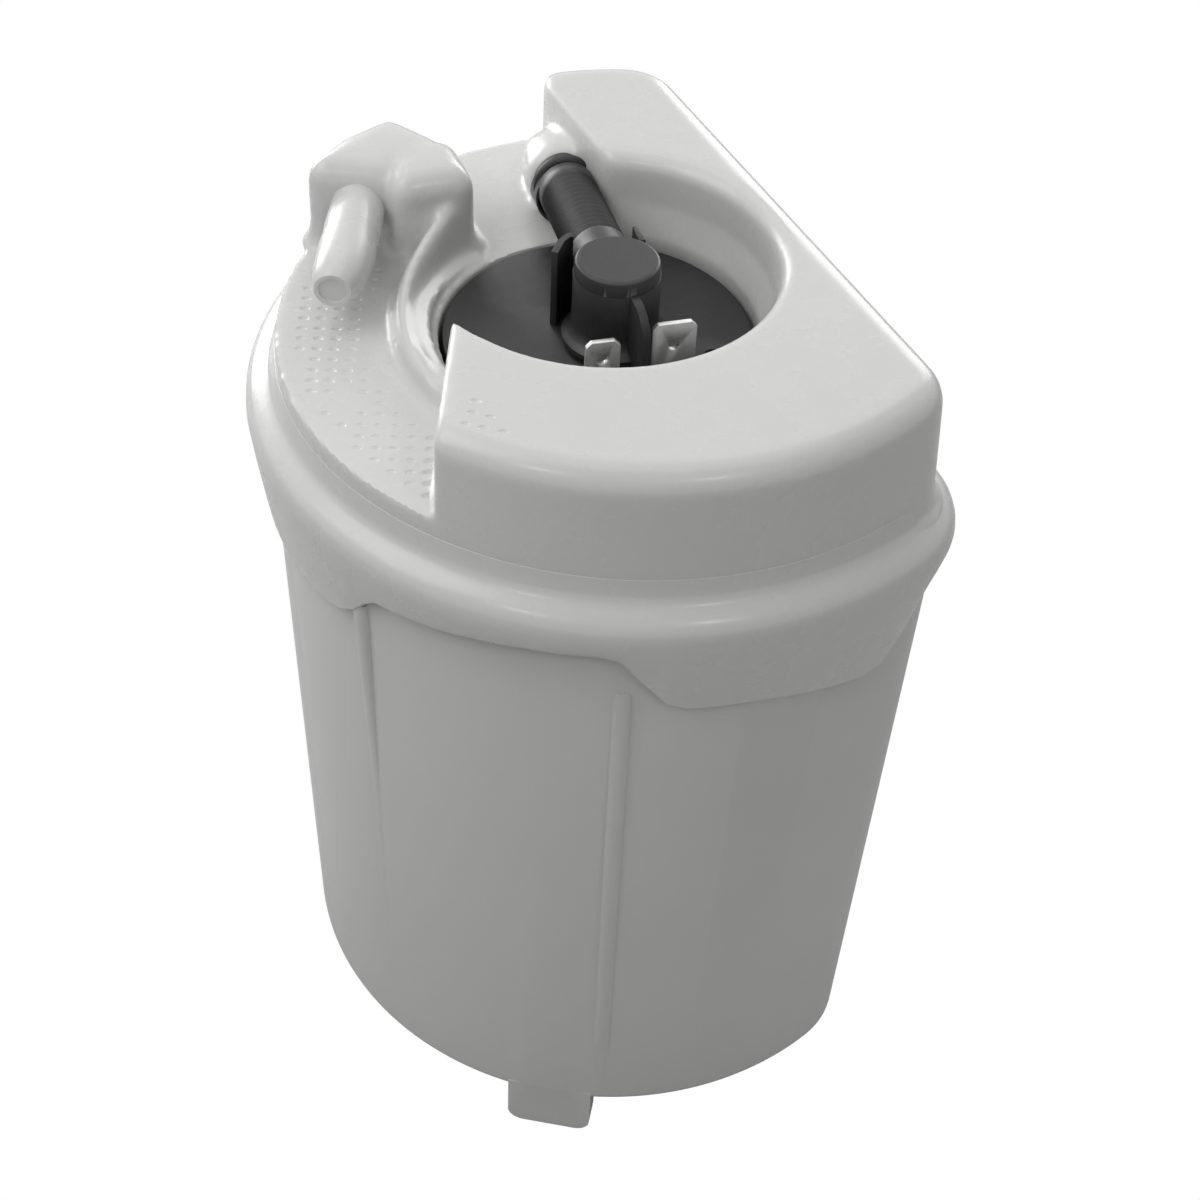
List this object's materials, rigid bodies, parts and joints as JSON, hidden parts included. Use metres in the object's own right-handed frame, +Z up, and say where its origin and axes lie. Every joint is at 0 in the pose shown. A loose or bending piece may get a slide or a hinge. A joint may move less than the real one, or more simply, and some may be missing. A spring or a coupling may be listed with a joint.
{
  "type": "in-tank fuel pump",
  "caption": "In-tank fuel pump: a flat-sided white swirl pot with a clip-on cover, and a black-capped electric pump inside it, joined to the cover by a corrugated hose.",
  "frame": {"origin": "middle of the footprint of the whole pump, on the plane of its standing lugs", "axes": "+Z up along the pump axis, +X out of the flat side, +Y across the flat side"},
  "size_m": [0.0842, 0.11, 0.1398],
  "materials": {
    "pot_plastic": "natural translucent moulding, satin gloss",
    "cover_plastic": "natural white moulding, glossy on its edges",
    "black_plastic": "black moulding, fine matt grain",
    "hose_plastic": "black corrugated hose",
    "black_rubber": "black fuel-proof rubber",
    "tinned_brass": "tinned blade, dull",
    "zinc_steel": "zinc-plated drawn case",
    "spring_steel": "bright steel",
    "core_steel": "stacked laminations",
    "ferrite": "sintered ferrite, dark grey",
    "copper": "enamelled copper",
    "bronze": "sintered bronze and turned brass",
    "carbon": "pressed carbon",
    "cast_aluminium": "die-cast, machined faces",
    "impeller_plastic": "heat-proof moulding",
    "strainer_mesh": "woven nylon strainer"
  },
  "bodies": {
    "housing": {"pot": "pot_plastic", "cover": "cover_plastic", "end_cap": "black_plastic", "terminal_wide": "tinned_brass", "terminal_narrow": "tinned_brass", "outlet_hose": "hose_plastic", "port_seal": "black_rubber", "hose_clip": "black_plastic", "pump_case": "zinc_steel", "magnet_left": "ferrite", "magnet_right": "ferrite", "magnet_clips": "spring_steel", "chamber_ring": "cast_aluminium", "chamber_plate": "cast_aluminium", "inlet_cover": "cast_aluminium", "lower_bush": "bronze", "upper_bush": "bronze", "brush_spring_front": "spring_steel", "brush_spring_rear": "spring_steel", "suppressor_chokes": "ferrite", "check_valve_seat": "bronze", "check_valve_spring": "spring_steel", "relief_valve_seat": "bronze", "relief_valve_spring": "spring_steel", "outlet_head_plug": "black_plastic", "upper_damper": "black_rubber", "lower_mount": "black_rubber", "inlet_strainer": "strainer_mesh", "jet_feed_tube": "cover_plastic", "jet_body": "cover_plastic", "mixing_tube": "cover_plastic", "feed_tube_seal": "black_rubber"},
    "rotor": {"armature_core": "core_steel", "windings": "copper", "commutator": "copper", "shaft": "spring_steel", "impeller": "impeller_plastic"},
    "check_poppet": {"check_valve_poppet": "impeller_plastic"},
    "relief_ball": {"relief_valve_ball": "spring_steel"},
    "foot_flap": {"foot_valve": "black_rubber"},
    "front_brush": {"brush_front": "carbon"},
    "rear_brush": {"brush_rear": "carbon"}
  },
  "joints": [
    {"name": "rotor_spin", "type": "hinge", "parent": "housing", "child": "rotor", "pos_m": [0.0073, 0, 0.06], "axis": [0, 0, 1], "continuous": true},
    {"name": "check_valve_lift", "type": "slide", "parent": "housing", "child": "check_poppet", "axis": [0, 0, 1], "range_m": [0, 0.002], "stiffness_N_per_m": 60, "springref_m": -0.003, "deforming": ["check_valve_spring"]},
    {"name": "relief_valve_lift", "type": "slide", "parent": "housing", "child": "relief_ball", "axis": [0, 0, 1], "range_m": [0, 0.0012], "stiffness_N_per_m": 80, "springref_m": -0.003, "deforming": ["relief_valve_spring"]},
    {"name": "foot_valve_lift", "type": "slide", "parent": "housing", "child": "foot_flap", "axis": [0, 0, 1], "range_m": [0, 0.0012], "stiffness_N_per_m": 10, "springref_m": -0.001},
    {"name": "front_brush_travel", "type": "slide", "parent": "housing", "child": "front_brush", "axis": [1, 0, 0], "range_m": [0, 0.0015], "stiffness_N_per_m": 100, "springref_m": -0.003, "deforming": ["brush_spring_front"]},
    {"name": "rear_brush_travel", "type": "slide", "parent": "housing", "child": "rear_brush", "axis": [-1, 0, 0], "range_m": [0, 0.0015], "stiffness_N_per_m": 100, "springref_m": -0.003, "deforming": ["brush_spring_rear"]}
  ]
}
